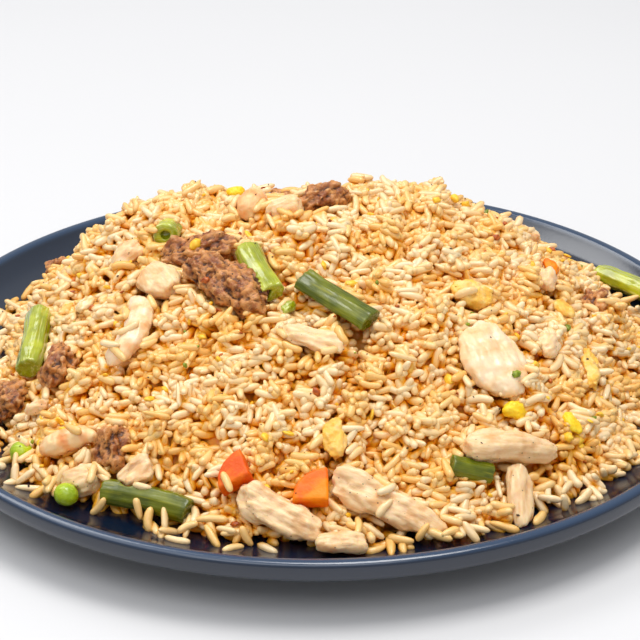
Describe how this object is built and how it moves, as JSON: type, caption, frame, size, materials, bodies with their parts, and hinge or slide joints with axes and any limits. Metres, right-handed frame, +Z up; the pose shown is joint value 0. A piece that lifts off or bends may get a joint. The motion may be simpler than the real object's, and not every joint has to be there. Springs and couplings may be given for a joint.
{
  "type": "plate of fried rice",
  "caption": "Round dark stoneware plate with a heap of fried rice and pieces of beef, chicken, prawn, green bean, pea, carrot and egg.",
  "frame": {"origin": "centre of the plate's foot ring, on the table", "axes": "+Z up out of the heap, -Y towards the near side of the heap, +X to the right as seen from the near side"},
  "size_m": [0.27, 0.27, 0.0725],
  "materials": {
    "plate": "satin dark navy stoneware glaze, bluer on the lip",
    "rice": "cooked long-grain rice, lightly oiled, cream grains over golden brown gaps",
    "beef": "fried crumbly minced beef, brown",
    "chicken": "cooked chicken, fibrous, pale with browned edges",
    "prawn": "cooked prawn, pinkish white, moist",
    "bean": "cooked green bean, glossy",
    "pea": "cooked green pea, glossy",
    "carrot": "cooked carrot, moist",
    "egg": "scrambled egg, yellow, moist"
  },
  "bodies": {
    "root": {"plate": "plate", "bean_dark": "bean", "beef_crown_lower": "beef", "beef_crown_upper": "beef", "bean_light": "bean", "bean_ring": "bean", "chicken_back": "chicken", "prawn_brown_back": "prawn", "beef_back": "beef", "chicken_flake": "chicken", "chicken_slab": "chicken", "chicken_brown": "chicken", "prawn_left": "prawn", "bean_left": "bean", "beef_left_mid": "beef", "beef_left_high": "beef", "beef_far_left": "beef", "prawn_left_low": "prawn", "beef_left_low": "beef", "pea_left": "pea", "pea_near": "pea", "chicken_cube": "chicken", "chicken_crumb": "chicken", "bean_near_left": "bean", "carrot_wedge": "carrot", "carrot_block": "carrot", "chicken_near_left": "chicken", "chicken_near_right": "chicken", "chicken_near_edge": "chicken", "chicken_strip_long": "chicken", "chicken_strip_short": "chicken", "bean_under": "bean", "prawn_right": "prawn", "chicken_right_low": "chicken", "chicken_right_high": "chicken", "beef_right": "beef", "bean_right": "bean", "egg_yellow": "egg", "egg_golden": "egg", "egg_fold": "egg", "egg_strand": "egg", "chicken_rear_left": "chicken", "beef_rear": "beef", "bean_rear": "bean", "carrot_rear": "carrot", "chicken_rear_right": "chicken", "prawn_rear": "prawn", "bean_rear_low": "bean", "egg_rear": "egg", "pea_rear_left": "pea", "pea_rear_right": "pea", "rice_heap": "rice"}
  },
  "joints": []
}
